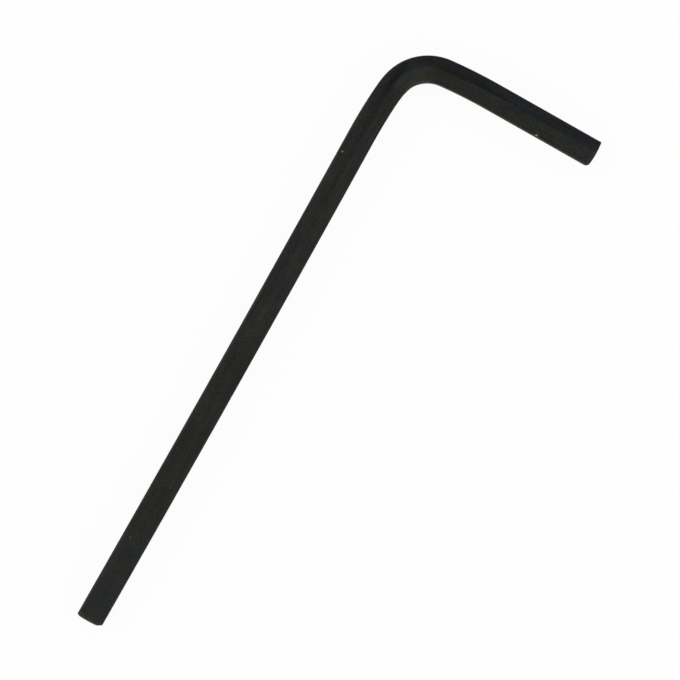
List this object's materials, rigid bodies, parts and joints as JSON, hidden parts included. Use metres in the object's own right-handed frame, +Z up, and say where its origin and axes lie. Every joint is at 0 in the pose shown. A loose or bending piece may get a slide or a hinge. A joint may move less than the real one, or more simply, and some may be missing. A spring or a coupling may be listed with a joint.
{
  "type": "hex key",
  "caption": "L-shaped hex key, one bent length of black hexagon bar with chamfered ends, for turning socket head screws.",
  "frame": {"origin": "middle of the key's overall length and width, on the surface that it lies on", "axes": "+Y along the long arm from its end towards the bend, +X along the short arm towards its end, +Z up from the surface"},
  "size_m": [0.0166, 0.0492, 0.0022],
  "materials": {
    "black_steel": "black oxide, satin to matte, with faint draw lines and a little bare metal on worn edges"
  },
  "bodies": {
    "root": {"hex_key": "black_steel"}
  },
  "joints": []
}
